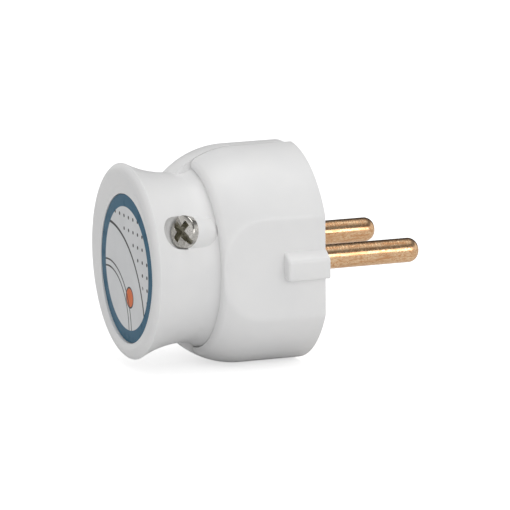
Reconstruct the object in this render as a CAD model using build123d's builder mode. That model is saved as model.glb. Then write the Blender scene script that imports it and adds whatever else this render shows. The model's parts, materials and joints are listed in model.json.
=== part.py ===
"""Round two-pin mains plug with a pull grip, as an assembly of separate pieces.

Millimetres. The origin is the centre of the engagement face, between the pins.
+X runs along the pins, +Z is up, and -Y is the side that is called near.
"""
import os
from math import cos, radians, sin, sqrt

from build123d import *

# Pins
pin_spacing = 19.0
pin_radius = 2.0
pin_length = 18.5
pin_neck_radius = 1.8
pin_shank_radius = 1.6
pin_shank_length = 1.8
pin_tip_round = 1.7

# Outer body
body_radius = 17.85
flat_distance = 15.85
shoulder_start = 10.5
shoulder_arc = 13.8
cavity_radius = 14.6
front_wall = 2.5
edge_round = 1.5

# Where the two housings meet
near_edge = 17.6
parting_y = -0.9
parting_gap = 0.12
parting_taper = 0.25
hood_front = 1.3
hood_fit = 0.1
far_plate_radius = 17.0
groove_radius = 14.9
groove_depth = 0.8

# Guide ribs on the two flats
rib_reach = 17.97
rib_far_plate_reach = 17.2
rib_length = 7.15
rib_low = -1.85
rib_high = 1.5
rib_slope_top = 2.75
rib_slope_sink = 0.15

# Pull grip
grip_length = 29.0
rim_distance = 28.2
rim_round = 0.15
back_radius = 14.6
waist_distance = 19.8
waist_radius = 13.84
flare_arc = 17.5
sleeve_start = 17.25
sleeve_edge = 16.95
sleeve_radius = 14.75
sleeve_round = 0.25
spigot_radius = 14.4
spigot_wall = 1.6
spigot_end = 16.0
neck_bore = 12.2
dish_depth = 0.6
dish_radius = 12.3
dish_rim_radius = 14.3
back_wall = 1.6
shoulder_core = 13.5

# Label disc in the back of the grip
label_radius = 12.1
label_thickness = 0.55
label_sink = 0.08
label_drop = 1.2
label_fit = 0.1

# Housing screws, set at a slant in the waist
screw_tilt = 26.3
screw_azimuth = 27.8
screw_head_distance = 23.87
screw_head_offset = 14.8
screw_head_radius = 2.65
screw_head_height = 1.5
screw_crown = 0.6
screw_shank_radius = 1.45
screw_length = 11.1
screw_fit = 0.05
screw_pocket_fit = 0.2
slot_width = 0.75
slot_depth = 0.95
cross_length = 3.2
cross_depth = 1.25
seat_length = 5.0
boss_radius = 4.1
boss_back = 3.0
boss_front = 8.0
washer_radius = 2.4
washer_thickness = 0.5
washer_gap = 0.1

# Threaded inserts in the carrier's lugs
insert_start = 9.0
insert_length = 3.5
insert_radius = 2.2
lug_wall = 0.7
lug_length = 7.0
tip_room = 0.5

# Terminals
terminal_side = 6.6
terminal_length = 7.5
terminal_fit = 0.05
wire_hole_radius = 1.25
wire_hole_distance = 6.0
terminal_screw_radius = 1.45
terminal_screw_length = 4.0
terminal_chamfer = 0.4
terminal_screw_chamfer = 0.25
terminal_slot_width = 0.6
terminal_slot_depth = 0.7
thread_fit = 0.05
screw_point = 0.35

# Carrier
carrier_gap = 0.1
carrier_length = 8.3
carrier_radius = 14.2
carrier_half_height = 10.0
driver_hole_radius = 2.0
wire_slot_width = 3.2

# Small screws of the carrier and of the cord clamp
small_head_radius = 2.3
small_head_height = 1.5
small_crown = 0.5
small_shank_radius = 1.22
small_slot_width = 0.6
small_slot_depth = 0.7
carrier_screw_y = -2.5
carrier_screw_z = 6.6
carrier_screw_length = 5.6
post_radius = 2.6
post_length = 4.0
post_fit = 0.15

# Cord inlet and clamp
cord_radius = 3.1
inlet_z = 2.5
inlet_bore = 3.3
bush_wall = 0.9
bush_flange_radius = 5.0
bush_flange_length = 1.1
bush_flange_round = 0.35
inlet_wall = 1.0
inlet_end = 20.5
inlet_start = 14.8
saddle_height = 1.1
saddle_depth = 0.7
saddle_width = 4.0
saddle_span = 8.0
clamp_y = 3.4
clamp_screw_offset = 5.6
clamp_bar_half = 7.2
clamp_bar_width = 4.4
clamp_bar_thickness = 2.0
clamp_bar_round = 1.4
clamp_screw_length = 12.3
clamp_hole_room = 0.6
clamp_travel = 1.5

# Places that follow from the sizes above
carrier_front = -(front_wall + carrier_gap)
carrier_rear = carrier_front - carrier_length
terminal_rear = carrier_front - terminal_length
cord_x = carrier_rear - saddle_height + saddle_depth - cord_radius
bar_front = cord_x - cord_radius
bar_rear = bar_front - clamp_bar_thickness
back_floor = dish_depth - grip_length
label_floor = back_floor + label_thickness + label_sink
web_front = label_floor + back_wall
pin_places = {"near": -pin_spacing / 2, "far": pin_spacing / 2}
sides = {"near": 1, "far": -1}


def arc_rise(reach, radius):
    """Height of an arc over its tangent at a distance from the point where the two touch."""
    return radius - sqrt(radius**2 - reach**2)


# Outline of the grip: a rounded back, a wide arc from its rim down to the waist, a tighter one up to the sleeve
flare_reach = rim_distance - waist_distance
rim_radius = waist_radius + arc_rise(flare_reach, flare_arc)
back_reach = rim_radius - back_radius
back_rise = grip_length - rim_distance
back_arc = (back_reach**2 + back_rise**2) / (2 * back_rise)
neck_reach = waist_distance - sleeve_start
neck_rise = sleeve_radius - waist_radius
neck_arc = (neck_reach**2 + neck_rise**2) / (2 * neck_rise)


def shoulder_point(distance):
    """Point (x, r) of the outer body, a cylinder that rounds off in one arc behind shoulder_start."""
    past = max(distance - shoulder_start, 0)
    return (-distance, body_radius - shoulder_arc + sqrt(shoulder_arc**2 - past**2))


def shoulder_distance(radius):
    """Distance behind the face at which the shoulder's arc has come down to a radius."""
    return shoulder_start + sqrt(shoulder_arc**2 - (radius - body_radius + shoulder_arc) ** 2)


def screw_plane(side):
    """Plane on the crown of a slanted housing screw, its normal along the screw, outwards."""
    turn = radians(screw_azimuth)
    tilt = radians(screw_tilt)
    radial = Vector(0, -side * cos(turn), side * sin(turn))
    crown = Vector(-screw_head_distance, 0, 0) + radial * screw_head_offset
    return Plane(origin=crown, z_dir=Vector(-cos(tilt), 0, 0) + radial * sin(tilt))


def rearward_plane(x, y, z):
    """Plane whose normal points back along the plug, for screws that are turned from behind."""
    return Plane(origin=(x, y, z), x_dir=(0, 0, 1), z_dir=(-1, 0, 0))


def lengthwise_plane(crown):
    """Plane that holds a screw's axis. Its y runs along the screw, outwards."""
    return Plane(origin=crown.origin, x_dir=crown.x_dir, z_dir=crown.x_dir.cross(crown.z_dir))


def turned_screw(crown, head_radius, head_height, rise, shank_radius, length, slot, depth):
    """Add a screw with a domed, slotted head. The crown plane touches the top of the head."""
    dome = (head_radius**2 + rise**2) / (2 * rise)
    half_drop = dome - sqrt(dome**2 - (head_radius / 2) ** 2)
    end = -(head_height + length)
    with BuildSketch(lengthwise_plane(crown)) as profile:
        with BuildLine():
            ThreePointArc((0, 0), (head_radius / 2, -half_drop), (head_radius, -rise))
            Polyline(
                (head_radius, -rise),
                (head_radius, -head_height),
                (shank_radius, -head_height),
                (shank_radius, end + screw_point),
                (shank_radius - screw_point, end),
                (0, end),
                (0, 0),
            )
        make_face()
    revolve(profile.sketch, axis=Axis(crown.origin, crown.z_dir))
    with BuildSketch(crown) as groove:
        Rectangle(3 * head_radius, slot)
    extrude(groove.sketch, amount=-depth, mode=Mode.SUBTRACT)


def cut_flats(length, ends):
    """Cut the side flats of a body that starts at the engagement face."""
    with Locations(*[(-length / 2, end * (flat_distance + body_radius / 2), 0) for end in ends]):
        Box(length, body_radius, 3 * body_radius, mode=Mode.SUBTRACT)


def guide_rib(side, reach, front, rear):
    """Add a guide rib on a flat, with a sloping upper side."""
    root = (cavity_radius + flat_distance) / 2
    slope_foot = flat_distance - rib_slope_sink
    with BuildSketch(Plane.YZ.offset(rear)) as profile:
        with BuildLine():
            Polyline(
                (side * root, rib_low),
                (side * reach, rib_low),
                (side * reach, rib_high),
                (side * slope_foot, rib_slope_top),
                (side * root, rib_slope_top),
                close=True,
            )
        make_face()
    extrude(profile.sketch, amount=front - rear)


def write(piece, name):
    """Label a finished piece and write it to its own file."""
    piece.part.label = name
    export_step(piece.part, f"parts/{name}.step")


os.makedirs("parts", exist_ok=True)

# Front housing: engagement face, near wall and posts for the carrier
with BuildPart() as front_housing:
    with BuildSketch(Plane.XY):
        with BuildLine():
            Polyline((-near_edge, 0), (0, 0), (0, body_radius), (-shoulder_start, body_radius))
            ThreePointArc(
                (-shoulder_start, body_radius),
                shoulder_point((shoulder_start + near_edge) / 2),
                shoulder_point(near_edge),
            )
            Line(shoulder_point(near_edge), (-near_edge, 0))
        make_face()
        rear_corner = vertices().sort_by_distance((*shoulder_point(near_edge), 0))[0]
        fillet(rear_corner, edge_round)
    revolve(axis=Axis.X)
    cut_flats(2 * near_edge, (1, -1))
    with BuildSketch(Plane.YZ.offset(-front_wall)):
        Circle(cavity_radius)
    extrude(amount=-near_edge, mode=Mode.SUBTRACT)
    with BuildSketch(Plane.YZ.offset(-near_edge)):
        Circle(groove_radius)
    extrude(amount=groove_depth, mode=Mode.SUBTRACT)
    with BuildSketch(Plane.XY):
        with BuildLine():
            Polyline(
                (-hood_front, parting_y - parting_gap),
                (-near_edge - 1, parting_y - parting_gap - parting_taper),
                (-near_edge - 1, 2 * body_radius),
                (-hood_front, 2 * body_radius),
                close=True,
            )
        make_face()
    extrude(amount=2 * body_radius, both=True, mode=Mode.SUBTRACT)
    with BuildSketch(Plane.YZ):
        with Locations((parting_y - parting_gap + body_radius, 0)):
            Rectangle(2 * body_radius, 3 * body_radius)
        Circle(far_plate_radius, mode=Mode.SUBTRACT)
    extrude(amount=-hood_front, mode=Mode.SUBTRACT)
    with BuildSketch(Plane.YZ.offset(-front_wall)):
        Circle(cavity_radius - hood_fit)
    extrude(amount=front_wall / 2)
    guide_rib(-1, rib_reach, 0, -rib_length)
    guide_rib(1, rib_far_plate_reach, 0, -hood_front)
    with BuildSketch(Plane.YZ.offset(-front_wall)):
        with Locations((carrier_screw_y, carrier_screw_z), (carrier_screw_y, -carrier_screw_z)):
            Circle(post_radius)
    extrude(amount=-post_length)
    with BuildSketch(Plane.YZ.offset(-front_wall - post_length)):
        with Locations((carrier_screw_y, carrier_screw_z), (carrier_screw_y, -carrier_screw_z)):
            Circle(small_shank_radius + thread_fit)
    extrude(amount=post_length, mode=Mode.SUBTRACT)
    with BuildSketch(Plane.YZ):
        with Locations(*[(y, 0) for y in pin_places.values()]):
            Circle(pin_radius)
    extrude(amount=-front_wall, mode=Mode.SUBTRACT)
write(front_housing, "front_housing")

# Space out to the middle of the neck's wall, which trims the screw bosses
with BuildPart() as neck_core:
    with BuildSketch(Plane.XY):
        with BuildLine():
            Polyline(
                (-sleeve_edge, (neck_bore + waist_radius) / 2),
                (-spigot_end, spigot_radius - spigot_wall / 2),
                (-spigot_end, 0),
                (back_floor + back_wall, 0),
                (back_floor + back_wall, (neck_bore + waist_radius) / 2),
                close=True,
            )
        make_face()
    revolve(axis=Axis.X)

# Hood over the far side, with its flat, its rib and its meeting faces
with BuildPart() as hood:
    shoulder_end = shoulder_distance(shoulder_core)
    with BuildSketch(Plane.XY):
        with BuildLine():
            Polyline(
                (-shoulder_start, body_radius),
                (-hood_front, body_radius),
                (-hood_front, cavity_radius),
                (-spigot_end, cavity_radius),
                (-spigot_end, shoulder_core),
                (-shoulder_end, shoulder_core),
            )
            ThreePointArc(
                (-shoulder_end, shoulder_core),
                shoulder_point((shoulder_start + shoulder_end) / 2),
                (-shoulder_start, body_radius),
            )
        make_face()
    revolve(axis=Axis.X)
    cut_flats(2 * grip_length, (1,))
    with Locations((-grip_length / 2, parting_y - body_radius, 0)):
        Box(2 * grip_length, 2 * body_radius, 3 * body_radius, mode=Mode.SUBTRACT)
    guide_rib(1, rib_reach, -hood_front, -rib_length)

# Rear housing: grip, waist, hood, inlet and the seats of the slanted screws
with BuildPart() as rear_housing:
    for side in sides.values():
        with BuildSketch(screw_plane(side).offset(boss_back)):
            Circle(boss_radius)
        extrude(amount=-(boss_back + boss_front))
    add(neck_core.part, mode=Mode.INTERSECT)
    with BuildSketch(Plane.XY):
        with BuildLine():
            ThreePointArc(
                (-grip_length, back_radius),
                (-grip_length + arc_rise(back_reach / 2, back_arc), back_radius + back_reach / 2),
                (-rim_distance, rim_radius),
            )
            ThreePointArc(
                (-rim_distance, rim_radius),
                (-waist_distance - flare_reach / 2, waist_radius + arc_rise(flare_reach / 2, flare_arc)),
                (-waist_distance, waist_radius),
            )
            ThreePointArc(
                (-waist_distance, waist_radius),
                (-waist_distance + neck_reach / 2, waist_radius + arc_rise(neck_reach / 2, neck_arc)),
                (-sleeve_start, sleeve_radius),
            )
            Polyline(
                (-sleeve_start, sleeve_radius),
                (-sleeve_edge, sleeve_radius),
                (-sleeve_edge, spigot_radius),
                (-spigot_end, spigot_radius),
                (-spigot_end, spigot_radius - spigot_wall),
                (-sleeve_edge, spigot_radius - spigot_wall),
                (-sleeve_edge - spigot_wall, neck_bore),
                (web_front, neck_bore),
                (web_front, 0),
                (back_floor, 0),
                (back_floor, dish_radius),
                (-grip_length, dish_rim_radius),
                (-grip_length, back_radius),
            )
        make_face()
        sleeve_corner = vertices().sort_by_distance((-sleeve_edge, sleeve_radius, 0))[0]
        fillet(sleeve_corner, sleeve_round)
        rim_corner = vertices().sort_by_distance((-rim_distance, rim_radius, 0))[0]
        fillet(rim_corner, rim_round)
    revolve(axis=Axis.X)
    for side in sides.values():
        with BuildSketch(screw_plane(side).offset(-screw_head_height)):
            Circle(screw_head_radius)
        extrude(amount=-seat_length)
    add(hood.part)
    with BuildSketch(Plane(origin=(cord_x, inlet_start, inlet_z), x_dir=(1, 0, 0), z_dir=(0, 1, 0))):
        Circle(inlet_bore + bush_wall + inlet_wall)
    extrude(amount=inlet_end - inlet_start)
    with BuildSketch(Plane(origin=(cord_x, 0, inlet_z), x_dir=(1, 0, 0), z_dir=(0, 1, 0))):
        Circle(inlet_bore + bush_wall)
    extrude(amount=2 * body_radius, mode=Mode.SUBTRACT)
    with BuildSketch(Plane.YZ.offset(label_floor)):
        with Locations((0, -label_drop)):
            Circle(label_radius + label_fit)
    extrude(amount=-label_thickness - dish_depth, mode=Mode.SUBTRACT)
    for side in sides.values():
        crown = screw_plane(side)
        pocket = screw_head_radius + screw_pocket_fit
        with BuildSketch(lengthwise_plane(crown)):
            with BuildLine():
                Polyline((pocket, 0), (pocket, -screw_head_height), (0, -screw_head_height), (0, pocket))
                ThreePointArc((0, pocket), (pocket / sqrt(2), pocket / sqrt(2)), (pocket, 0))
            make_face()
        revolve(axis=Axis(crown.origin, crown.z_dir), mode=Mode.SUBTRACT)
        with BuildSketch(crown):
            Circle(screw_shank_radius + screw_fit)
        extrude(amount=-(insert_start + insert_length), mode=Mode.SUBTRACT)
write(rear_housing, "rear_housing")

# Printed disc in the back of the grip
with BuildPart() as label_disc:
    with BuildSketch(Plane.YZ.offset(label_floor)):
        with Locations((0, -label_drop)):
            Circle(label_radius)
    extrude(amount=-label_thickness)
write(label_disc, "label_disc")

# Pins, turned from rod, with a shank that is pressed into the terminal
for place, pin_y in pin_places.items():
    with BuildPart() as pin:
        with BuildSketch(Plane.XY):
            with BuildLine():
                Polyline(
                    (carrier_front - pin_shank_length, pin_y),
                    (carrier_front - pin_shank_length, pin_y + pin_shank_radius),
                    (carrier_front, pin_y + pin_shank_radius),
                    (carrier_front, pin_y + pin_neck_radius),
                    (0, pin_y + pin_neck_radius),
                    (0, pin_y + pin_radius),
                    (pin_length, pin_y + pin_radius),
                    (pin_length, pin_y),
                    close=True,
                )
            make_face()
            tip_corner = vertices().sort_by_distance((pin_length, pin_y + pin_radius, 0))[0]
            fillet(tip_corner, pin_tip_round)
        revolve(axis=Axis((0, pin_y, 0), (1, 0, 0)))
    write(pin, f"{place}_pin")

# Terminals: square blocks that can't turn in the carrier
for place, pin_y in pin_places.items():
    with BuildPart() as terminal:
        with BuildSketch(Plane.YZ.offset(carrier_front)):
            with Locations((pin_y, 0)):
                Rectangle(terminal_side, terminal_side)
        extrude(amount=-terminal_length)
        chamfer(terminal.edges().filter_by(Axis.X), terminal_chamfer)
        with BuildSketch(Plane.YZ.offset(carrier_front)):
            with Locations((pin_y, 0)):
                Circle(pin_shank_radius)
        extrude(amount=-pin_shank_length, mode=Mode.SUBTRACT)
        with BuildSketch(Plane.YZ.offset(terminal_rear)):
            with Locations((pin_y, 0)):
                Circle(terminal_screw_radius + thread_fit)
        extrude(amount=terminal_length + carrier_front + wire_hole_distance, mode=Mode.SUBTRACT)
        with BuildSketch(Plane.XY):
            with Locations((-wire_hole_distance, pin_y)):
                Circle(wire_hole_radius)
        extrude(amount=terminal_side, both=True, mode=Mode.SUBTRACT)
    write(terminal, f"{place}_terminal")

# Terminal screws, headless, turned from behind
for place, pin_y in pin_places.items():
    screw_tip = -(wire_hole_distance + wire_hole_radius)
    with BuildPart() as terminal_screw:
        with BuildSketch(Plane.YZ.offset(screw_tip)):
            with Locations((pin_y, 0)):
                Circle(terminal_screw_radius)
        extrude(amount=-terminal_screw_length)
        chamfer(terminal_screw.edges().filter_by(GeomType.CIRCLE), terminal_screw_chamfer)
        with BuildSketch(Plane.YZ.offset(screw_tip - terminal_screw_length)):
            with Locations((pin_y, 0)):
                Rectangle(4 * terminal_screw_radius, terminal_slot_width)
        extrude(amount=terminal_slot_depth, mode=Mode.SUBTRACT)
    write(terminal_screw, f"{place}_terminal_screw")

# Carrier: insulating block behind the front wall
with BuildPart() as pin_carrier:
    with BuildSketch(Plane.YZ.offset(carrier_front)):
        Circle(carrier_radius)
        Rectangle(3 * carrier_radius, 2 * carrier_half_height, mode=Mode.INTERSECT)
    extrude(amount=-carrier_length)
    for side in sides.values():
        with BuildSketch(screw_plane(side).offset(-insert_start)):
            Circle(insert_radius + lug_wall)
        extrude(amount=-lug_length)
    saddle_x = carrier_rear - saddle_height / 2
    with Locations((saddle_x, clamp_y, inlet_z)):
        Box(saddle_height, saddle_width, saddle_span)
    with BuildSketch(Plane(origin=(cord_x, 0, inlet_z), x_dir=(1, 0, 0), z_dir=(0, 1, 0))):
        Circle(cord_radius)
    extrude(amount=body_radius, mode=Mode.SUBTRACT)
    with BuildSketch(Plane.YZ.offset(carrier_front)):
        with Locations(*[(y, 0) for y in pin_places.values()]):
            Rectangle(terminal_side + 2 * terminal_fit, terminal_side + 2 * terminal_fit)
    extrude(amount=-terminal_length - terminal_fit, mode=Mode.SUBTRACT)
    with BuildSketch(Plane.YZ.offset(carrier_rear)):
        with Locations(*[(y, 0) for y in pin_places.values()]):
            Circle(driver_hole_radius)
    extrude(amount=carrier_length, mode=Mode.SUBTRACT)
    with BuildSketch(Plane.XY):
        with Locations(*[(-wire_hole_distance, y) for y in pin_places.values()]):
            Rectangle(wire_slot_width, wire_slot_width)
    extrude(amount=body_radius, mode=Mode.SUBTRACT)
    with BuildSketch(Plane.YZ.offset(carrier_front)):
        with Locations((carrier_screw_y, carrier_screw_z), (carrier_screw_y, -carrier_screw_z)):
            Circle(post_radius + post_fit)
    extrude(amount=-post_length, mode=Mode.SUBTRACT)
    with BuildSketch(Plane.YZ.offset(carrier_rear)):
        with Locations((carrier_screw_y, carrier_screw_z), (carrier_screw_y, -carrier_screw_z)):
            Circle(small_shank_radius + thread_fit)
    extrude(amount=carrier_length, mode=Mode.SUBTRACT)
    with BuildSketch(Plane.YZ.offset(carrier_rear)):
        with Locations((carrier_screw_y, carrier_screw_z), (carrier_screw_y, -carrier_screw_z)):
            Circle(small_head_radius + post_fit)
    extrude(amount=small_head_height, mode=Mode.SUBTRACT)
    with BuildSketch(Plane.YZ.offset(bar_rear)):
        with Locations((clamp_y, inlet_z + clamp_screw_offset), (clamp_y, inlet_z - clamp_screw_offset)):
            Circle(small_shank_radius + thread_fit)
    extrude(amount=clamp_screw_length + clamp_travel + clamp_hole_room, mode=Mode.SUBTRACT)
    for side in sides.values():
        with BuildSketch(screw_plane(side).offset(-insert_start)):
            Circle(insert_radius)
        extrude(amount=-insert_length, mode=Mode.SUBTRACT)
        with BuildSketch(screw_plane(side).offset(-insert_start)):
            Circle(screw_shank_radius + screw_fit)
        extrude(amount=-(screw_head_height + screw_length + tip_room - insert_start), mode=Mode.SUBTRACT)
write(pin_carrier, "pin_carrier")

# Threaded inserts, one for each housing screw
with BuildPart() as screw_inserts:
    for side in sides.values():
        with BuildSketch(screw_plane(side).offset(-insert_start)):
            Circle(insert_radius)
            Circle(screw_shank_radius + thread_fit, mode=Mode.SUBTRACT)
        extrude(amount=-insert_length)
write(screw_inserts, "screw_inserts")

# Fibre washers that hold the housing screws captive
with BuildPart() as captive_washers:
    for side in sides.values():
        with BuildSketch(screw_plane(side).offset(-boss_front - washer_gap)):
            Circle(washer_radius)
            Circle(screw_shank_radius + screw_fit, mode=Mode.SUBTRACT)
        extrude(amount=-washer_thickness)
write(captive_washers, "captive_washers")

# Housing screws with a combined cross and slot
for place, side in sides.items():
    crown = screw_plane(side)
    with BuildPart() as housing_screw:
        turned_screw(
            crown,
            screw_head_radius,
            screw_head_height,
            screw_crown,
            screw_shank_radius,
            screw_length,
            slot_width,
            slot_depth,
        )
        with BuildSketch(crown):
            Rectangle(slot_width, cross_length)
            Rectangle(cross_length, slot_width)
        extrude(amount=-cross_depth, mode=Mode.SUBTRACT)
    write(housing_screw, f"{place}_housing_screw")

# Carrier screws, sunk in the back of the carrier
for name, turn in {"upper": 1, "lower": -1}.items():
    with BuildPart() as carrier_screw:
        turned_screw(
            rearward_plane(carrier_rear, carrier_screw_y, turn * carrier_screw_z),
            small_head_radius,
            small_head_height,
            small_crown,
            small_shank_radius,
            carrier_screw_length,
            small_slot_width,
            small_slot_depth,
        )
    write(carrier_screw, f"{name}_carrier_screw")

# Clamp bar, with a ridge that bites the cord
with BuildPart() as clamp_bar:
    with Locations(((bar_front + bar_rear) / 2, clamp_y, inlet_z)):
        Box(clamp_bar_thickness, clamp_bar_width, 2 * clamp_bar_half)
    fillet(clamp_bar.edges().filter_by(Axis.X), clamp_bar_round)
    with BuildSketch(Plane.YZ.offset(bar_rear)):
        with Locations((clamp_y, inlet_z + clamp_screw_offset), (clamp_y, inlet_z - clamp_screw_offset)):
            Circle(small_shank_radius + thread_fit)
    extrude(amount=clamp_bar_thickness, mode=Mode.SUBTRACT)
write(clamp_bar, "clamp_bar")

# Clamp screws, turned from behind
for name, turn in {"upper": 1, "lower": -1}.items():
    with BuildPart() as clamp_screw:
        turned_screw(
            rearward_plane(bar_rear - small_head_height, clamp_y, inlet_z + turn * clamp_screw_offset),
            small_head_radius,
            small_head_height,
            small_crown,
            small_shank_radius,
            clamp_screw_length,
            small_slot_width,
            small_slot_depth,
        )
    write(clamp_screw, f"{name}_clamp_screw")

# Rubber bush in the inlet
with BuildPart() as inlet_bush:
    with BuildSketch(Plane(origin=(cord_x, inlet_start, inlet_z), x_dir=(1, 0, 0), z_dir=(0, 1, 0))):
        Circle(inlet_bore + bush_wall)
    extrude(amount=inlet_end - inlet_start)
    with BuildSketch(Plane(origin=(cord_x, inlet_end, inlet_z), x_dir=(1, 0, 0), z_dir=(0, 1, 0))):
        Circle(bush_flange_radius)
    extrude(amount=bush_flange_length)
    fillet(inlet_bush.edges().group_by(Axis.Y)[-1], bush_flange_round)
    with BuildSketch(Plane(origin=(cord_x, inlet_start, inlet_z), x_dir=(1, 0, 0), z_dir=(0, 1, 0))):
        Circle(inlet_bore)
    extrude(amount=body_radius, mode=Mode.SUBTRACT)
write(inlet_bush, "inlet_bush")
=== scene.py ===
"""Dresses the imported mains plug: soft-edged front shell, printed disc, turned pins, plated screws and a studio."""
import json
from math import cos, radians, sin, tau

import bmesh
import bpy
import numpy as np
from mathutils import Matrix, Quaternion, Vector


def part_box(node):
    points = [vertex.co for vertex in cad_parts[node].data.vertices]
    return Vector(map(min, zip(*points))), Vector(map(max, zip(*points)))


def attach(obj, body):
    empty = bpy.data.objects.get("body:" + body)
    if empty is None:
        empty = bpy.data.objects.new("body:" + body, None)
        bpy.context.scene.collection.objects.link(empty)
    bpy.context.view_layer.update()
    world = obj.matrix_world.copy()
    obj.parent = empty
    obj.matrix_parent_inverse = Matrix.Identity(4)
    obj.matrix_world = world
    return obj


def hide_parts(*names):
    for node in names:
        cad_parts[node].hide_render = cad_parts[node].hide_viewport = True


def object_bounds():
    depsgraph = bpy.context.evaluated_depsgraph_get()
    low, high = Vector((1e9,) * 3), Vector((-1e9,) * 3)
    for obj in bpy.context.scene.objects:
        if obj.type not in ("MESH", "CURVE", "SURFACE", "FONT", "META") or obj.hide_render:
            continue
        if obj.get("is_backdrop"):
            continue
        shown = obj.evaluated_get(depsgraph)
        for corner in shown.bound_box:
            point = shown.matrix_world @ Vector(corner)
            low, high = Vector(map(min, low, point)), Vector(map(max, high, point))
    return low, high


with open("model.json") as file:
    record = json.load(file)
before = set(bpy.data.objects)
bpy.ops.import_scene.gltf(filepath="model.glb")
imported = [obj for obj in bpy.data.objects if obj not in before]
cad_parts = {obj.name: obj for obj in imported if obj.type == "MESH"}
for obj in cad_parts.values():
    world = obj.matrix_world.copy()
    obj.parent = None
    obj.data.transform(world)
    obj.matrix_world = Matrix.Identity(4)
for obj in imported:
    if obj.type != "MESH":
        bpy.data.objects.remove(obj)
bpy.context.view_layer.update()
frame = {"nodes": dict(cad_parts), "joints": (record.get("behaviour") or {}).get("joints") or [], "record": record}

bl_info = {
    "name": "Mains plug",
    "version": (1, 0, 0),
    "blender": (4, 5, 0),
    "location": "View3D > Sidebar > Plug",
    "description": "Builds the visible pieces of a round mains plug around its packed frame",
    "category": "Object",
}

# Width of the picture in points, and of the camera's sensor in millimetres.
PICTURE = 510
SENSOR = 36.0
# How far the dome of a housing screw rises over its rim.
HEAD_RISE = 0.00045
# The ribs start this far behind the engagement face. In one plane with it their ends show as black slits.
RIB_SETBACK = 0.00003
# Faces that meet at more than this many degrees keep a sharp edge.
SHARP = 32
# Height of the finest marks of every finish.
GRAIN_HEIGHT = 0.00002
JOINTS = {joint["name"]: joint for joint in frame["joints"]}


def length(name, default, description):
    """A size in metres, shown in the scene's unit."""
    return bpy.props.FloatProperty(
        name=name,
        description=description,
        default=default,
        min=0.0,
        subtype="DISTANCE",
        unit="LENGTH",
        precision=5,
    )


def colour(name, default, description):
    """A linear colour."""
    return bpy.props.FloatVectorProperty(
        name=name, description=description, default=default, size=3, min=0.0, max=1.0, subtype="COLOR"
    )


def dimmed(tint, share):
    """A colour times a share."""
    return [share * c for c in tint]


class PlugSizes(bpy.types.PropertyGroup):
    """Sizes of the surfaces that this file makes, in metres."""

    body_radius: length("Body radius", 0.01785, "Radius of the round body behind the engagement face")
    flat_distance: length("Flat distance", 0.01585, "Distance from the axis to each side flat")
    shoulder_start: length("Shoulder start", 0.0105, "Distance behind the face at which the body starts to round off")
    shoulder_arc: length("Shoulder arc", 0.0138, "Radius of the arc that rounds the body off")
    near_edge: length("Near edge", 0.0176, "Distance behind the face at which the near shell ends")
    edge_cut: length("Edge rounding", 0.00085, "How far the rounding of the shell's rear edge reaches")
    face_round: length("Face rounding", 0.00012, "Radius of the edge round the engagement face")
    flat_blend: length("Flat blend", 0.0003, "Width over which a flat melts into the round body")
    cavity_radius: length("Cavity radius", 0.0146, "Radius of the space inside the body")
    front_wall: length("Front wall", 0.0025, "Thickness of the wall that the pins stand on")
    groove_radius: length("Groove radius", 0.0149, "Radius of the step inside the shell's rear edge")
    groove_depth: length("Groove depth", 0.0008, "Depth of that step")
    parting: length("Parting", 0.00102, "Distance of the near shell's cut face from the axis")
    parting_taper: length("Parting taper", 0.00025, "How much the parting gap widens towards the rear")
    hood_front: length("Hood front", 0.0013, "Distance behind the face at which the far hood starts")
    far_plate_radius: length("Far plate radius", 0.017, "Radius of the front wall on the far side")
    rib_reach: length("Rib reach", 0.01797, "Distance from the axis to the top of the near guide rib")
    rib_far_reach: length("Far rib reach", 0.0172, "The same for the short rib on the far side of the front wall")
    rib_length: length("Rib length", 0.00715, "Length of the near guide rib")
    rib_round: length("Rib rounding", 0.0005, "Rounding of the guide rib's edges")
    pin_radius: length("Pin radius", 0.002, "Radius of each pin")
    pin_length: length("Pin length", 0.0185, "Length of each pin in front of the face")
    pin_spacing: length("Pin spacing", 0.019, "Distance between the pins' axes")
    pin_tip_round: length("Pin tip rounding", 0.0017, "Radius that rounds a pin's tip")
    head_radius: length("Screw head radius", 0.00265, "Radius of the housing screws' heads")
    head_height: length("Screw head height", 0.0015, "Height of the housing screws' heads")
    shank_radius: length("Screw shank radius", 0.00145, "Radius of the housing screws' shanks")
    screw_length: length("Screw length", 0.0111, "Length of the housing screws under the head")
    label_radius: length("Label radius", 0.0121, "Radius of the printed disc")
    label_drop: length("Label drop", 0.0012, "How far the printed disc's centre lies below the axis")
    ring_width: length("Ring width", 0.002, "Width of the printed disc's ring")


class PlugColours(bpy.types.PropertyGroup):
    """Colours of the plug's finishes, as linear values."""

    shell: colour("Shell", (0.885, 0.883, 0.88), "White moulded plastic")
    shell_shade: colour("Shell shade", (0.86, 0.86, 0.86), "Faint clouds in the white plastic")
    ring: colour("Ring", (0.006, 0.11, 0.2), "Blue ring of the printed disc")
    field: colour("Field", (0.78, 0.79, 0.8), "Pale ground of the printed disc")
    ink: colour("Ink", (0.012, 0.012, 0.014), "Thin lines of the printed disc")
    accent: colour("Accent", (0.78, 0.16, 0.03), "Small warm spot of the printed disc")
    gold: colour("Gold", (0.95, 0.68, 0.42), "Bright brass of the pins")
    copper: colour("Copper", (0.7, 0.37, 0.18), "Tarnished streaks of the pins")
    nickel: colour("Nickel", (0.70, 0.68, 0.64), "Plating of the screws")
    # Painted shade: the darker colour laid into the housing screws' recesses, the deeper the darker.
    recess_shade: colour("Recess shade", (0.36, 0.345, 0.27), "Dirt in the recesses of the housing screws")
    carrier: colour("Carrier", (0.60, 0.54, 0.42), "Insulating block")
    fibre: colour("Fibre", (0.20, 0.035, 0.02), "Washers that hold the screws")
    rubber: colour("Rubber", (0.60, 0.60, 0.585), "Bush of the cord's inlet")


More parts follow.
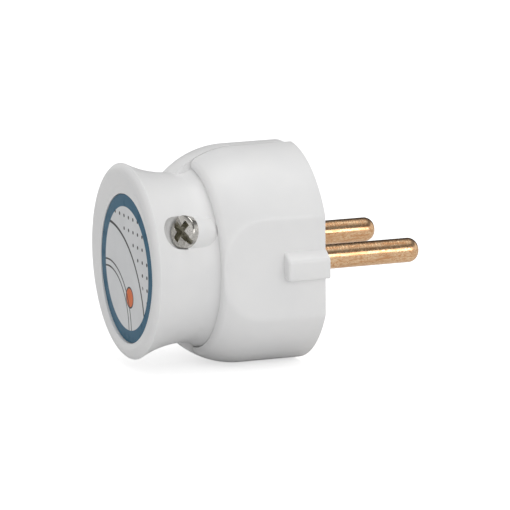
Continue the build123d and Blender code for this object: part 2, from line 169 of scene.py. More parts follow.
def grid_faces(rows, columns, wrap_rows, wrap_columns):
    """Corner numbers of the faces of a grid of points. A direction that wraps joins its end to its start."""
    row = np.arange(rows if wrap_rows else rows - 1)
    column = np.arange(columns if wrap_columns else columns - 1)
    row, column = np.meshgrid(row, column, indexing="ij")
    next_row, next_column = (row + 1) % rows, (column + 1) % columns
    corners = (row * columns + column, row * columns + next_column, next_row * columns + next_column)
    return np.stack([*corners, next_row * columns + column], axis=-1).reshape(-1, 4)


def add_piece(name, grids, body, material, nodes=()):
    """Join grids of points into one mesh, merge its seams, point its normals outwards and keep sharp corners sharp.

    A grid is (points, wraps along its rows, wraps along its columns, has end caps on its first and last columns).
    """
    points, faces, first = [], [], 0
    for grid, wrap_rows, wrap_columns, capped in grids:
        rows, columns = grid.shape[:2]
        faces += (grid_faces(rows, columns, wrap_rows, wrap_columns) + first).tolist()
        if capped:
            start = np.arange(rows) * columns + first
            faces += [start.tolist(), (start + columns - 1).tolist()]
        points.append(grid.reshape(-1, 3))
        first += rows * columns
    mesh = bpy.data.meshes.new(name)
    mesh.from_pydata(np.concatenate(points).tolist(), [], faces)
    build = bmesh.new()
    build.from_mesh(mesh)
    bmesh.ops.remove_doubles(build, verts=build.verts, dist=1e-7)
    bmesh.ops.recalc_face_normals(build, faces=build.faces)
    build.to_mesh(mesh)
    build.free()
    mesh.shade_smooth()
    mesh.set_sharp_from_angle(angle=radians(SHARP))
    mesh.materials.append(material)
    piece = bpy.data.objects.new(name, mesh)
    bpy.context.scene.collection.objects.link(piece)
    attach(piece, body)
    if nodes:
        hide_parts(*nodes)
    return piece


def soft_min(first, second, width):
    """The smaller of two values, with a parabola across the last part where they come within a width."""
    near = np.maximum(width - np.abs(first - second), 0) / width
    return np.minimum(first, second) - near * near * width / 4


def rounded_path(corners, steps=6):
    """Points along straight runs between corners (x, r, cut).

    A corner C with a cut is replaced by the parabola (1-t)^2 A + 2t(1-t) C + t^2 B, with A and B one cut from C.
    """
    path = []
    for number, (x, r, cut) in enumerate(corners):
        corner = np.array((x, r))
        if not cut:
            path.append(corner)
            continue
        before = np.array(corners[number - 1][:2]) - corner
        after = np.array(corners[number + 1][:2]) - corner
        before = corner + before / np.linalg.norm(before) * cut
        after = corner + after / np.linalg.norm(after) * cut
        for t in np.linspace(0, 1, steps):
            path.append((1 - t) ** 2 * before + 2 * t * (1 - t) * corner + t * t * after)
    return np.array(path)


def lathe(path, origin, axis, columns=96):
    """Carry a path of (distance along the axis, radius) round an axis through the origin."""
    axis = Vector(axis).normalized()
    across = axis.orthogonal().normalized()
    other = axis.cross(across)
    turn = np.linspace(0, tau, columns, endpoint=False)
    ring = np.cos(turn)[:, None] * np.array(across) + np.sin(turn)[:, None] * np.array(other)
    along = np.asarray(path)[:, 0][:, None, None] * np.array(axis)
    return np.array(origin) + along + np.asarray(path)[:, 1][:, None, None] * ring[None]


def half_round(rows, side, offset, flat, blend, columns=241):
    """Half of a round body, cut by a plane that is parallel to the axis.

    A row is (x, radius, inset, share). Round the axis the surface lies at the radius or at the flat, whichever is
    nearer, less the inset. The share moves a point from the foot of the axis on the cut plane towards that surface.
    The half circle runs between the two angles at which the radius meets the cut plane. Past the widest angle the
    flat is out of the way, so its distance is set to a metre there.
    """
    widest, out_of_the_way = 1.2, 1.0
    x, radius, inset, share = np.array(rows).T
    offset = np.broadcast_to(offset(x) if callable(offset) else offset, x.shape)
    end = np.arccos(np.clip(offset / (radius - inset), -1, 1))
    turn = np.linspace(-1, 1, columns)[None] * end[:, None]
    flat_radius = flat / np.cos(np.clip(turn, -widest, widest))
    flat_radius = np.where(np.abs(turn) < widest, flat_radius, out_of_the_way)
    reach = soft_min(np.broadcast_to(radius[:, None], turn.shape), flat_radius, blend) - inset[:, None]
    across = offset[:, None] + share[:, None] * (reach * np.cos(turn) - offset[:, None])
    up = share[:, None] * reach * np.sin(turn)
    return np.stack([np.broadcast_to(x[:, None], turn.shape), side * across, up], axis=-1)


def guide_rib(side, reach, front, rear, sizes, low=-0.00185, high=0.0015, slope_top=0.00275, sink=0.0006):
    """A guide rib, made of one section with rounded corners that is carried along X.

    Towards the rear end each point of the section draws in by cut (1 - cos t) while X advances by cut (1 - sin t), a
    quarter turn, so that end is rounded too.
    """
    foot_sink = 0.00015
    root = sizes.flat_distance - sink
    slope_foot = sizes.flat_distance - foot_sink
    cut = sizes.rib_round
    section = rounded_path(
        [
            (root, low, 0),
            (reach, low, cut),
            (reach, high, cut),
            (slope_foot, slope_top, cut),
            (root, slope_top, 0),
        ]
    )
    centre = section.mean(axis=0)
    turn = np.linspace(0, tau / 4, 7)
    end_x = rear + cut * (1 - np.sin(turn))
    draw = cut * (1 - np.cos(turn))
    spread = np.linalg.norm(section - centre, axis=1)[None]
    scale = 1 - draw[:, None] / spread
    rings = centre + scale[..., None] * (section - centre)[None]
    x = np.concatenate([[front, front], end_x, [rear]])
    rings = np.concatenate([np.broadcast_to(centre, (1, *section.shape)), section[None], rings])
    rings = np.concatenate([rings, np.broadcast_to(centre, (1, *section.shape))])
    return np.stack([np.broadcast_to(x[:, None], rings.shape[:2]), side * rings[..., 0], rings[..., 1]], axis=-1)


def face_rows(x, radius, inset, inwards, count=14):
    """Rows of a flat face, from the axis out to its edge or back."""
    share = np.linspace(1, 0, count) if inwards else np.linspace(0, 1, count)
    return [(x, radius, inset, s) for s in share]


def edge_rows(x, radius, rounding, steps=7):
    """Rows of a quarter turn from a flat face at x on to the side of the body."""
    turn = np.linspace(0, tau / 4, steps)
    return [(x - rounding * (1 - cos(t)), radius, rounding * (1 - sin(t)), 1) for t in turn]


def shoulder_rows(sizes, start, end, count=40):
    """Rows of the outer body: a cylinder, then r = R - A + sqrt(A^2 - past^2) behind the shoulder's start."""
    straight = np.linspace(start, sizes.shoulder_start, 12)[1:-1]
    x = np.concatenate([straight, np.linspace(sizes.shoulder_start, end, count)])
    past = np.maximum(x - sizes.shoulder_start, 0)
    radius = sizes.body_radius - sizes.shoulder_arc + np.sqrt(sizes.shoulder_arc**2 - past**2)
    return [(-distance, r, 0, 1) for distance, r in zip(x, radius)]


def front_shell_grids(sizes):
    """The near half with its wall, flat and rib, the far half of the front wall, and the two posts inside."""
    body, cavity, wall = sizes.body_radius, sizes.cavity_radius, sizes.front_wall
    rounding, end, cut = sizes.face_round, sizes.near_edge, sizes.edge_cut
    slope = (end - sizes.shoulder_start) / sizes.shoulder_arc
    outer = shoulder_rows(sizes, rounding, end - cut * (1 - slope**2) ** 0.5)
    end_radius = body - sizes.shoulder_arc + sizes.shoulder_arc * (1 - slope**2) ** 0.5
    corner = rounded_path(
        [(outer[-1][0], outer[-1][1], 0), (-end, end_radius, cut), (-end, sizes.groove_radius, 0)], steps=9
    )[1:-1]
    groove_end = -end + sizes.groove_depth
    near = face_rows(0, body, rounding, False) + edge_rows(0, body, rounding)[1:] + outer
    near += [(x, r, 0, 1) for x, r in corner]
    near += [(-end, sizes.groove_radius, 0, 1), (groove_end, sizes.groove_radius, 0, 1), (groove_end, cavity, 0, 1)]
    near += [(x, cavity, 0, 1) for x in np.linspace(groove_end, -wall, 12)[1:]]
    near += face_rows(-wall, cavity, 0, True)[1:]
    taper = sizes.parting_taper / (end - sizes.hood_front)

    def near_offset(x):
        return sizes.parting + taper * np.maximum(-x - sizes.hood_front, 0)

    far_radius, back, spigot_gap = sizes.far_plate_radius, sizes.hood_front, 0.0001
    spigot = cavity - spigot_gap
    far = face_rows(0, far_radius, rounding, False) + edge_rows(0, far_radius, rounding)[1:]
    far += [(-back, far_radius, 0, 1), (-back, spigot, 0, 1), (-wall, spigot, 0, 1)]
    far += face_rows(-wall, spigot, 0, True)[1:]
    flat, blend = sizes.flat_distance, sizes.flat_blend
    grids = [
        (half_round(near, -1, near_offset, flat, blend), True, False, True),
        (half_round(far, 1, -sizes.parting, flat, blend), True, False, True),
        (guide_rib(-1, sizes.rib_reach, -RIB_SETBACK, -sizes.rib_length, sizes), False, True, False),
        (guide_rib(1, sizes.rib_far_reach, -RIB_SETBACK, -back, sizes), False, True, False),
    ]
    post_hole, post_radius, post_length, post_side, post_height = 0.00127, 0.0026, 0.004, -0.0025, 0.0066
    post = [(0, post_hole), (0, post_radius), (post_length, post_radius), (post_length, post_hole)]
    for height in (post_height, -post_height):
        grids.append((lathe(post, (-wall, post_side, height), (-1, 0, 0)), True, True, False))
    return grids


def screw_head(sizes, columns=240):
    """A whole housing screw: a domed head that is carved by a cross and a slot, and a threaded shank.

    Top: height = -rise (r/R)^2, less a quarter turn at the rim. In the slot the height blends to the slot's floor, in
    the cross to a floor that climbs with the square of the way along its arms, and in the hub to the deepest floor.
    Thread: radius = shank - depth (1 + cos(turns along the axis - turn round it)), which fades in under the head. The
    points are in the screw's own frame, whose third axis runs outwards.
    """
    head, rise, rim = sizes.head_radius, HEAD_RISE, 0.0002
    radius = head * np.concatenate([np.linspace(0, 0.9, 84), 0.9 + 0.1 * np.sin(np.linspace(0, tau / 4, 12))[1:]])
    turn = np.linspace(0, tau, columns, endpoint=False)
    u, v = radius[:, None] * np.cos(turn), radius[:, None] * np.sin(turn)
    over = np.maximum(radius - (head - rim), 0) / rim
    height = -rise * (radius / head) ** 2 - rim * (1 - np.sqrt(1 - np.minimum(over, 1) ** 2))
    height = np.broadcast_to(height[:, None], u.shape)

    def inside(distance, half, soft=0.00012):
        share = np.clip((half + soft / 2 - distance) / soft, 0, 1)
        return share * share * (3 - 2 * share)

    half_slot, arm, hub_radius = 0.00038, 0.0018, 0.00075
    half_cross = half_slot * 1.4
    slot_floor, cross_floor, cross_climb, hub_floor = -0.00095, -0.0013, 0.0005, -0.0014
    slot = inside(np.abs(v), half_slot)
    height = height + slot * (np.minimum(height, slot_floor) - height)
    for along, across in ((u, v), (v, u)):
        cross = inside(np.abs(across), half_cross) * inside(np.abs(along), arm)
        floor = cross_floor + cross_climb * (np.abs(along) / arm) ** 2
        height = height + cross * (np.minimum(height, floor) - height)
    hub = inside(radius, hub_radius)[:, None]
    height = height + hub * (np.minimum(height, hub_floor) - height)
    top = np.stack([u, v, height], axis=-1)
    shank, under, tip = sizes.shank_radius, -sizes.head_height, -sizes.head_height - sizes.screw_length
    pitch, thread_depth, fade, tip_cut = 0.0005, 0.00008, 0.001, 0.0004
    depth = np.linspace(under, tip + tip_cut, 160)
    thread = np.cos(tau * depth[:, None] / pitch - turn[None])
    thread_radius = shank - thread_depth * (1 + thread) * np.clip((under - depth[:, None]) / fade, 0, 1)
    ring = np.stack([np.cos(turn), np.sin(turn)], axis=-1)

    def level(height, radius):
        return np.concatenate([radius * ring, np.full((columns, 1), height)], axis=1)[None]

    shank_rows = np.concatenate(
        [thread_radius[..., None] * ring[None], np.broadcast_to(depth[:, None, None], (*thread_radius.shape, 1))],
        axis=-1,
    )
    ends = [level(tip, shank - tip_cut), level(tip, 0)]
    return np.concatenate([top, level(under, head), level(under, shank), shank_rows, *ends])


def set_on_axis(points, origin, axis, turn):
    """Turn points about their third axis, lay that axis along the given one and move them to the origin."""
    axis = Vector(axis).normalized()
    side = Vector((0, 0, 1)).cross(axis).normalized()
    up = axis.cross(side)
    across = side * cos(turn) + up * sin(turn)
    other = axis.cross(across)
    return np.array(origin) + points @ np.array([across, other, axis])


def new_group(name, inputs, outputs):
    """An empty node group with named value sockets, and its two end nodes."""
    group = bpy.data.node_groups.new(name, "ShaderNodeTree")
    for label, kind, default in inputs:
        socket = group.interface.new_socket(name=label, in_out="INPUT", socket_type=kind)
        if default is not None:
            socket.default_value = default
    for label in outputs:
        group.interface.new_socket(name=label, in_out="OUTPUT", socket_type="NodeSocketFloat")
    return group, group.nodes.new("NodeGroupInput"), group.nodes.new("NodeGroupOutput")


def add_node(tree, kind, links=(), **settings):
    """Add a node, set its properties and join (source socket, input name or number) pairs to it."""
    made = tree.nodes.new(kind)
    for key, value in settings.items():
        setattr(made, key, value)
    for source, target in links:
        if isinstance(source, bpy.types.NodeSocket):
            tree.links.new(source, made.inputs[target])
        else:
            made.inputs[target].default_value = source
    return made


def math(tree, operation, *values):
    """One Math node, which gives its output socket."""
    return add_node(tree, "ShaderNodeMath", [(v, i) for i, v in enumerate(values)], operation=operation).outputs[0]


def remap(tree, value, low, high, new_low, new_high):
    """Map a value smoothly from one range to another."""
    links = [(value, 0), (low, 1), (high, 2), (new_low, 3), (new_high, 4)]
    return add_node(tree, "ShaderNodeMapRange", links, interpolation_type="SMOOTHSTEP").outputs[0]


def mix(tree, share, first, second):
    """Mix two colours by a share."""
    made = add_node(tree, "ShaderNodeMix", data_type="RGBA")
    for source, target in ((share, 0), (first, 6), (second, 7)):
        if isinstance(source, bpy.types.NodeSocket):
            tree.links.new(source, made.inputs[target])
        else:
            made.inputs[target].default_value = (*source, 1) if target > 0 else source
    return made.outputs[2]


def moulding_group():
    """Grain of a moulded or pressed surface: fine pits as a height, soft clouds and fingered patches as masks."""
    inputs = [("Vector", "NodeSocketVector", None), ("Grain Scale", "NodeSocketFloat", 4000.0)]
    group, start, end = new_group("Moulding", inputs, ("Height", "Clouds", "Patches"))
    place, scale = start.outputs[0], start.outputs[1]
    fine = add_node(group, "ShaderNodeTexNoise", [(place, "Vector"), (scale, "Scale"), (3.0, "Detail")])
    wide = add_node(group, "ShaderNodeTexNoise", [(place, "Vector"), (140.0, "Scale"), (2.0, "Detail")])
    patch = add_node(group, "ShaderNodeTexNoise", [(place, "Vector"), (420.0, "Scale"), (5.0, "Detail")])
    group.links.new(fine.outputs[0], end.inputs[0])
    group.links.new(remap(group, wide.outputs[0], 0.3, 0.7, 0.0, 1.0), end.inputs[1])
    group.links.new(remap(group, patch.outputs[0], 0.45, 0.75, 0.0, 1.0), end.inputs[2])
    return group


def turned_group():
    """Marks of a turned or drawn metal: rings across the axis as a height, streaks along it and spots as masks."""
    inputs = [("Vector", "NodeSocketVector", None), ("Ring Scale", "NodeSocketFloat", 9000.0)]
    group, start, end = new_group("Turned Metal", inputs, ("Height", "Streaks", "Spots"))
    place, scale = start.outputs[0], start.outputs[1]
    squeeze = add_node(group, "ShaderNodeVectorMath", [(place, 0), ((1.0, 0.04, 0.04), 1)], operation="MULTIPLY")
    rings = add_node(group, "ShaderNodeTexNoise", [(squeeze.outputs[0], "Vector"), (scale, "Scale"), (2.0, "Detail")])
    bands = []
    for stretch, fineness, low, high in ((0.14, 2400.0, 0.4, 0.68), (0.4, 5200.0, 0.42, 0.66)):
        links = [(place, 0), ((stretch, 1.0, 1.0), 1)]
        drawn = add_node(group, "ShaderNodeVectorMath", links, operation="MULTIPLY").outputs[0]
        streak = add_node(group, "ShaderNodeTexNoise", [(drawn, "Vector"), (fineness, "Scale"), (4.0, "Detail")])
        bands.append(remap(group, streak.outputs[0], low, high, 0.0, 1.0))
    spots = add_node(group, "ShaderNodeTexNoise", [(place, "Vector"), (2600.0, "Scale"), (5.0, "Detail")])
    group.links.new(rings.outputs[0], end.inputs[0])
    group.links.new(math(group, "MAXIMUM", *bands), end.inputs[1])
    group.links.new(remap(group, spots.outputs[0], 0.5, 0.68, 0.0, 1.0), end.inputs[2])
    return group


def start_material(name):
    """A material with a Principled shader, its tree, the shader and the object coordinates."""
    material = bpy.data.materials.new(name)
    material.use_nodes = True
    tree = material.node_tree
    shader = next(n for n in tree.nodes if n.type == "BSDF_PRINCIPLED")
    place = tree.nodes.new("ShaderNodeTexCoord").outputs["Object"]
    return material, tree, shader, place


def add_bump(tree, shader, height, strength):
    """Feed a height to the shader's normal."""
    links = [(strength, "Strength"), (GRAIN_HEIGHT, "Distance"), (height, "Height")]
    bump = add_node(tree, "ShaderNodeBump", links)
    tree.links.new(bump.outputs[0], shader.inputs["Normal"])


def plastic(name, colours, roughness, scale, bump):
    """Moulded material: two close colours in soft clouds, roughness in patches and a fine grain."""
    material, tree, shader, place = start_material(name)
    grain = add_node(tree, "ShaderNodeGroup", node_tree=bpy.data.node_groups["Moulding"])
    tree.links.new(place, grain.inputs["Vector"])
    grain.inputs["Grain Scale"].default_value = scale
    tree.links.new(mix(tree, grain.outputs["Clouds"], *colours), shader.inputs["Base Color"])
    tree.links.new(remap(tree, grain.outputs["Patches"], 0.0, 1.0, *roughness), shader.inputs["Roughness"])
    add_bump(tree, shader, grain.outputs["Height"], bump)
    return material


def metal(name, bright, dark, roughness, ring_scale, bump, recess_shade=None):
    """Metal whose colour runs between bright and tarnished in streaks and spots, with fine turning marks.

    With a colour for the recesses, the attribute recess_depth of the mesh says where that painted shade darkens the
    metal and makes it rougher.
    """
    material, tree, shader, place = start_material(name)
    marks = add_node(tree, "ShaderNodeGroup", node_tree=bpy.data.node_groups["Turned Metal"])
    tree.links.new(place, marks.inputs["Vector"])
    marks.inputs["Ring Scale"].default_value = ring_scale
    tarnish = math(tree, "MAXIMUM", marks.outputs["Streaks"], math(tree, "MULTIPLY", marks.outputs["Spots"], 0.7))
    tarnish_and_recess_shade, gloss = mix(tree, tarnish, bright, dark), remap(tree, marks.outputs["Spots"], 0.0, 1.0, *roughness)
    if recess_shade:
        # Painted shade: the deeper a point lies in the screw's recess, the more its colour turns to the recess colour,
        # and the rougher it gets. Streaks and spots are the metal's own tarnish.
        depth = add_node(tree, "ShaderNodeAttribute", attribute_name="recess_depth").outputs["Fac"]
        recess_shade_share = math(tree, "MULTIPLY", depth, remap(tree, marks.outputs["Height"], 0.3, 0.6, 0.7, 1.0))
        tarnish_and_recess_shade = mix(tree, recess_shade_share, tarnish_and_recess_shade, recess_shade)
        gloss = math(tree, "MAXIMUM", gloss, math(tree, "MULTIPLY", recess_shade_share, 0.5))
    tree.links.new(tarnish_and_recess_shade, shader.inputs["Base Color"])
    tree.links.new(gloss, shader.inputs["Roughness"])
    shader.inputs["Metallic"].default_value = 1.0
    add_bump(tree, shader, marks.outputs["Height"], bump)
    return material


def printed(name, sizes, colours):
    """Printed disc: a blue ring, three thin arcs, a bed of dots and one warm spot on a pale ground."""
    material, tree, shader, place = start_material(name)
    grain = add_node(tree, "ShaderNodeGroup", node_tree=bpy.data.node_groups["Moulding"])
    tree.links.new(place, grain.inputs["Vector"])
    flat = add_node(tree, "ShaderNodeVectorMath", [(place, 0), ((0.0, 1.0, 1.0), 1)], operation="MULTIPLY").outputs[0]

    def distance(y, z):
        links = [(flat, 0), ((0.0, y, z), 1)]
        return add_node(tree, "ShaderNodeVectorMath", links, operation="DISTANCE").outputs["Value"]

    def line(value, middle, half, soft=0.00004):
        off = math(tree, "ABSOLUTE", math(tree, "SUBTRACT", value, middle))
        return remap(tree, off, half - soft, half + soft, 1.0, 0.0)

    middle = distance(0.0, -sizes.label_drop)
    field = sizes.label_radius - sizes.ring_width
    corner = distance(0.0085, -0.0115)
    ink = line(corner, 0.0092, 0.00014)
    for radius, half in ((0.0103, 0.00014), (0.0168, 0.00022)):
        ink = math(tree, "MAXIMUM", ink, line(corner, radius, half))
    parts = add_node(tree, "ShaderNodeSeparateXYZ", [(flat, 0)])
    pitch = 0.0021
    cells = [math(tree, "FLOORED_MODULO", parts.outputs[i], pitch) for i in (1, 2)]
    offsets = [math(tree, "SUBTRACT", cell, pitch / 2) for cell in cells]
    squares = [math(tree, "MULTIPLY", offset, offset) for offset in offsets]
    spot = math(tree, "SQRT", math(tree, "ADD", *squares))
    dots = remap(tree, spot, 0.00026, 0.00034, 1.0, 0.0)
    beyond = remap(tree, corner, 0.0178, 0.0179, 0.0, 1.0)
    ink = math(tree, "MAXIMUM", ink, math(tree, "MULTIPLY", dots, beyond))
    disc = distance(-0.0012, -0.0058)
    warm = remap(tree, disc, 0.00155, 0.00162, 1.0, 0.0)
    ink = math(tree, "MAXIMUM", ink, line(disc, 0.00165, 0.00013))
    ground = mix(tree, grain.outputs["Clouds"], colours.field, dimmed(colours.field, 0.94))
    pale = mix(tree, warm, ground, colours.accent)
    drawn = mix(tree, ink, pale, colours.ink)
    blue = mix(tree, grain.outputs["Patches"], colours.ring, dimmed(colours.ring, 0.8))
    blur = 0.00005
    ring = remap(tree, middle, field - blur, field + blur, 0.0, 1.0)
    tree.links.new(mix(tree, ring, drawn, blue), shader.inputs["Base Color"])
    tree.links.new(remap(tree, grain.outputs["Patches"], 0.0, 1.0, 0.34, 0.46), shader.inputs["Roughness"])
    shader.inputs["Specular IOR Level"].default_value = 0.25
    add_bump(tree, shader, grain.outputs["Height"], 0.05)
    return material


class PLUG_OT_finishes(bpy.types.Operator):
    """Make the materials and give the carried-over CAD pieces theirs"""

    bl_idname = "plug.finishes"
    bl_label = "Finishes"

    def execute(self, context):
        sizes, colours = context.scene.plug_sizes, context.scene.plug_colours
        moulding_group()
        turned_group()
        gold, copper, nickel = colours.gold, colours.copper, colours.nickel
        shell = (colours.shell, colours.shell_shade)
        carrier = (colours.carrier, dimmed(colours.carrier, 0.9))
        fibre = (colours.fibre, dimmed(colours.fibre, 0.6))
        rubber = (colours.rubber, dimmed(colours.rubber, 0.9))
        # The chromed screws take painted shade in their recesses from the last colour.
        metal("chromed", nickel, dimmed(nickel, 0.7), (0.07, 0.16), 2500.0, 0.08, colours.recess_shade)
        finishes = {
            "white_plastic": plastic("moulded_white", shell, (0.36, 0.44), 5000.0, 0.06),
            "label": printed("disc_print", sizes, colours),
            "pin_brass": metal("turned_pins", gold, copper, (0.17, 0.32), 3200.0, 0.75),
            "terminal_brass": metal("sawn_brass", gold, copper, (0.35, 0.5), 2500.0, 0.3),
            "plated_steel": metal("plated", nickel, dimmed(nickel, 0.62), (0.2, 0.34), 2500.0, 0.15),
            "carrier_plastic": plastic("moulded_carrier", carrier, (0.5, 0.62), 3000.0, 0.2),
            "fibre": plastic("pressed_fibre", fibre, (0.7, 0.85), 2500.0, 0.5),
            "rubber": plastic("soft_rubber", rubber, (0.6, 0.75), 3500.0, 0.3),
        }
        slots = {part["node"]: part["material_slot"] for part in frame["record"]["subparts"]}
        for name, node in frame["nodes"].items():
            node.data.materials.clear()
            node.data.materials.append(finishes[slots[name]])
        return {"FINISHED"}


class PLUG_OT_front_shell(bpy.types.Operator):
    """Build the front housing with soft edges round its flat, face and guide ribs"""

    bl_idname = "plug.front_shell"
    bl_label = "Front shell"

    def execute(self, context):
        grids = front_shell_grids(context.scene.plug_sizes)
        white = bpy.data.materials["moulded_white"]
        add_piece("front_shell", grids, "housing", white, ["front_housing"])
        return {"FINISHED"}


class PLUG_OT_label(bpy.types.Operator):
    """Build the printed disc with a rounded edge"""

    bl_idname = "plug.label"
    bl_label = "Printed disc"

    def execute(self, context):
        sizes = context.scene.plug_sizes
        low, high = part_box("label_disc")
        radius, edge = sizes.label_radius, 0.00015
        path = rounded_path([(high.x, 0, 0), (high.x, radius, 0), (low.x, radius, edge), (low.x, 0, 0)])
        grid = lathe(path, (0, 0, -sizes.label_drop), (1, 0, 0), 144)
        print_finish = bpy.data.materials["disc_print"]
        add_piece("label_print", [(grid, False, True, False)], "housing", print_finish, ["label_disc"])
        return {"FINISHED"}


class PLUG_OT_pins(bpy.types.Operator):
    """Turn the two brass pins"""

    bl_idname = "plug.pins"
    bl_label = "Pins"

    def execute(self, context):
        sizes = context.scene.plug_sizes
        brass = bpy.data.materials["turned_pins"]
        neck, seat, seat_gap, first_ring = 0.0016, 0.0018, 0.0001, 0.0005
        for name, side in (("near_pin", -1), ("far_pin", 1)):
            inner_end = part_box(name)[0].x
            radius, end, rounding = sizes.pin_radius, sizes.pin_length, sizes.pin_tip_round
            shoulder = -sizes.front_wall - seat_gap
            turn = np.linspace(0, tau / 4, 16)
            tip_x = end - rounding + rounding * np.sin(turn)
            tip_radius = radius - rounding + rounding * np.cos(turn)
            shaft = np.linspace(first_ring, end - rounding, 30)[:-1]
            hidden = [(inner_end, 0), (inner_end, neck), (shoulder, neck), (shoulder, seat), (0, seat)]
            path = np.concatenate(
                [
                    [*hidden, (0, radius)],
                    np.stack([shaft, np.full(len(shaft), radius)], axis=-1),
                    np.stack([tip_x, tip_radius], axis=-1),
                    [(end, 0)],
                ]
            )
            grid = lathe(path, (0, side * sizes.pin_spacing / 2, 0), (1, 0, 0), 96)
            add_piece(f"{name}_turned", [(grid, False, True, False)], "housing", brass, [name])
        return {"FINISHED"}


class PLUG_OT_housing_screws(bpy.types.Operator):
    """Build the two slanted screws with their carved heads"""

    bl_idname = "plug.housing_screws"
    bl_label = "Housing screws"

    def execute(self, context):
        sizes = context.scene.plug_sizes
        steel = bpy.data.materials["chromed"]
        for name, turn in (("near_housing_screw", radians(-33)), ("far_housing_screw", radians(80))):
            joint = JOINTS[f"{name}_turn"]
            points = set_on_axis(screw_head(sizes), joint["pos_m"], joint["axis"], turn)
            piece = add_piece(f"{name}_plated", [(points, False, True, False)], name, steel, [name])
            self.mark_recess(piece.data, sizes, Vector(joint["pos_m"]), Vector(joint["axis"]).normalized())
        return {"FINISHED"}

    def mark_recess(self, mesh, sizes, crown, axis):
        """Store how deep each point lies under the dome, from 0 near it to 1 in the recess and on the hidden shank.

        The outermost part of the head stays at 0.
        """
        clean, whole, inner_part = 0.00012, 0.0003, 0.93
        points = np.empty(3 * len(mesh.vertices), dtype=np.float32)
        mesh.vertices.foreach_get("co", points)
        away = points.reshape(-1, 3) - np.array(crown)
        height = away @ np.array(axis)
        radius = np.linalg.norm(away - height[:, None] * np.array(axis), axis=1)
        under = -HEAD_RISE * (radius / sizes.head_radius) ** 2 - height
        depth = np.clip((under - clean) / whole, 0, 1) * (radius < inner_part * sizes.head_radius)
        # The chromed material turns this depth into painted shade in the recesses.
        mesh.attributes.new("recess_depth", "FLOAT", "POINT").data.foreach_set("value", depth.astype(np.float32))


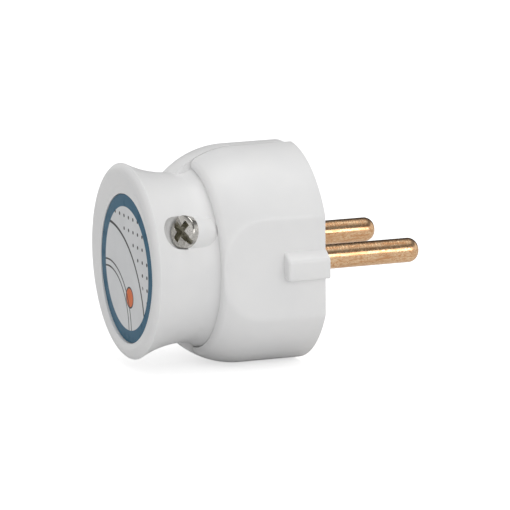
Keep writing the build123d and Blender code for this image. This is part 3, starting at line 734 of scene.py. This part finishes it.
class PLUG_OT_stage(bpy.types.Operator):
    """Set the floor, the soft lamps, the surroundings and the camera"""

    bl_idname = "plug.stage"
    bl_label = "Stage"

    def execute(self, context):
        scene = context.scene
        self.add_floor(scene)
        self.set_world(scene)
        target = Vector((-0.006124, 0, -0.000755))
        for name, place, width, height, power in (
            ("front_softbox", (0.12, -0.83, 0.27), 0.75, 0.34, 1.55),
            ("top_softbox", (0.0, 0.05, 0.9), 0.6, 0.6, 2.1),
        ):
            lamp = bpy.data.lights.new(name, "AREA")
            lamp.shape, lamp.size, lamp.size_y, lamp.energy = "RECTANGLE", width, height, power
            holder = bpy.data.objects.new(name, lamp)
            holder.location = place
            holder.rotation_euler = (target - Vector(place)).to_track_quat("-Z", "Y").to_euler()
            scene.collection.objects.link(holder)
        # The camera and its target were fitted to the photograph. The focal length is in picture points.
        azimuth, elevation, roll, away, focal = radians(-20.927), radians(11.33), radians(-0.506), 1.0, 6140.0
        back = Vector((sin(azimuth) * cos(elevation), -cos(azimuth) * cos(elevation), sin(elevation)))
        camera = bpy.data.cameras.new("photo_camera")
        camera.sensor_width, camera.lens = SENSOR, focal * SENSOR / PICTURE
        camera.clip_start, camera.clip_end = 0.01, 100
        holder = bpy.data.objects.new("photo_camera", camera)
        holder.location = target + back * away
        upright = (-back).to_track_quat("-Z", "Y")
        holder.rotation_euler = (Quaternion(back, roll) @ upright).to_euler()
        scene.collection.objects.link(holder)
        scene.camera = holder
        scene.view_settings.view_transform = "Standard"
        return {"FINISHED"}

    def add_floor(self, scene):
        """A pale floor that the camera sees as white wherever no shadow lies. Gloss sees it without the added glow."""
        low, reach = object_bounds()[0][2], 4.0
        corners = np.array([(-1, -1), (1, -1), (1, 1), (-1, 1)]) * reach
        mesh = bpy.data.meshes.new("floor")
        mesh.from_pydata([(x, y, low) for x, y in corners.tolist()], [], [(0, 1, 2, 3)])
        floor = bpy.data.objects.new("floor", mesh)
        scene.collection.objects.link(floor)
        floor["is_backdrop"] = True
        material, tree, shader, _ = start_material("floor")
        shader.inputs["Base Color"].default_value = (0.8, 0.8, 0.8, 1)
        shader.inputs["Roughness"].default_value = 0.9
        glow = add_node(tree, "ShaderNodeEmission", [(0.62, "Strength")])
        both = add_node(tree, "ShaderNodeAddShader", [(shader.outputs[0], 0), (glow.outputs[0], 1)])
        path = tree.nodes.new("ShaderNodeLightPath")
        seen = math(tree, "MAXIMUM", path.outputs["Is Camera Ray"], path.outputs["Is Transmission Ray"])
        choose = add_node(tree, "ShaderNodeMixShader", [(seen, 0), (shader.outputs[0], 1), (both.outputs[0], 2)])
        tree.links.new(choose.outputs[0], tree.nodes["Material Output"].inputs["Surface"])
        mesh.materials.append(material)

    def set_world(self, scene):
        """Even light from all sides, and plain white for the camera.

        Gloss sees a painted studio instead: white near the horizon but for two dark patches behind the plug, a dim
        wall higher up and a paler ceiling overhead. These give the metal its dark bands.
        """
        world = scene.world or bpy.data.worlds.new("World")
        scene.world = world
        world.use_nodes = True
        tree = world.node_tree
        sky = tree.nodes["Background"]
        sky.inputs["Color"].default_value = (1, 1, 1, 1)
        sky.inputs["Strength"].default_value = 0.57
        direction = add_node(tree, "ShaderNodeTexCoord").outputs["Generated"]
        height = add_node(tree, "ShaderNodeSeparateXYZ", [(direction, 0)]).outputs["Z"]
        wall = remap(tree, height, 0.42, 0.56, 1.0, 0.27)
        ceiling = remap(tree, height, 0.78, 0.92, 0.0, 0.5)
        room = math(tree, "ADD", wall, ceiling)
        patch_level = 0.06
        for towards, edge, middle in (((-0.8, 0.6, 0.02), 0.93, 0.985), ((0.56, 0.81, 0.17), 0.82, 0.93)):
            links = [(direction, 0), (towards, 1)]
            facing = add_node(tree, "ShaderNodeVectorMath", links, operation="DOT_PRODUCT").outputs["Value"]
            room = math(tree, "MULTIPLY", room, remap(tree, facing, edge, middle, 1.0, patch_level))
        studio = add_node(tree, "ShaderNodeBackground", [(room, "Strength")])
        white = add_node(tree, "ShaderNodeBackground", [((1, 1, 1, 1), "Color"), (1.0, "Strength")])
        path = tree.nodes.new("ShaderNodeLightPath")
        seen = math(tree, "MAXIMUM", path.outputs["Is Camera Ray"], path.outputs["Is Transmission Ray"])
        gloss = path.outputs["Is Glossy Ray"]
        polished = add_node(tree, "ShaderNodeMixShader", [(gloss, 0), (sky.outputs[0], 1), (studio.outputs[0], 2)])
        choose = add_node(tree, "ShaderNodeMixShader", [(seen, 0), (polished.outputs[0], 1), (white.outputs[0], 2)])
        tree.links.new(choose.outputs[0], tree.nodes["World Output"].inputs["Surface"])


OPERATORS = (
    PLUG_OT_finishes,
    PLUG_OT_front_shell,
    PLUG_OT_label,
    PLUG_OT_pins,
    PLUG_OT_housing_screws,
    PLUG_OT_stage,
)


class PLUG_PT_panel(bpy.types.Panel):
    """Lists the steps that build the plug, with its sizes and colours"""

    bl_idname = "PLUG_PT_panel"
    bl_label = "Mains plug"
    bl_space_type = "VIEW_3D"
    bl_region_type = "UI"
    bl_category = "Plug"

    def draw(self, context):
        for operator in OPERATORS:
            self.layout.operator(operator.bl_idname)
        for group in (context.scene.plug_sizes, context.scene.plug_colours):
            box = self.layout.box()
            for name in group.__annotations__:
                box.prop(group, name)


CLASSES = (PlugSizes, PlugColours, *OPERATORS, PLUG_PT_panel)


def register():
    for item in CLASSES:
        bpy.utils.register_class(item)
    bpy.types.Scene.plug_sizes = bpy.props.PointerProperty(type=PlugSizes)
    bpy.types.Scene.plug_colours = bpy.props.PointerProperty(type=PlugColours)


def unregister():
    del bpy.types.Scene.plug_colours
    del bpy.types.Scene.plug_sizes
    for item in reversed(CLASSES):
        bpy.utils.unregister_class(item)


def main():
    """Build everything."""
    register()
    bpy.ops.plug.finishes()
    bpy.ops.plug.front_shell()
    bpy.ops.plug.label()
    bpy.ops.plug.pins()
    bpy.ops.plug.housing_screws()
    bpy.ops.plug.stage()


if __name__ == "__main__":
    main()
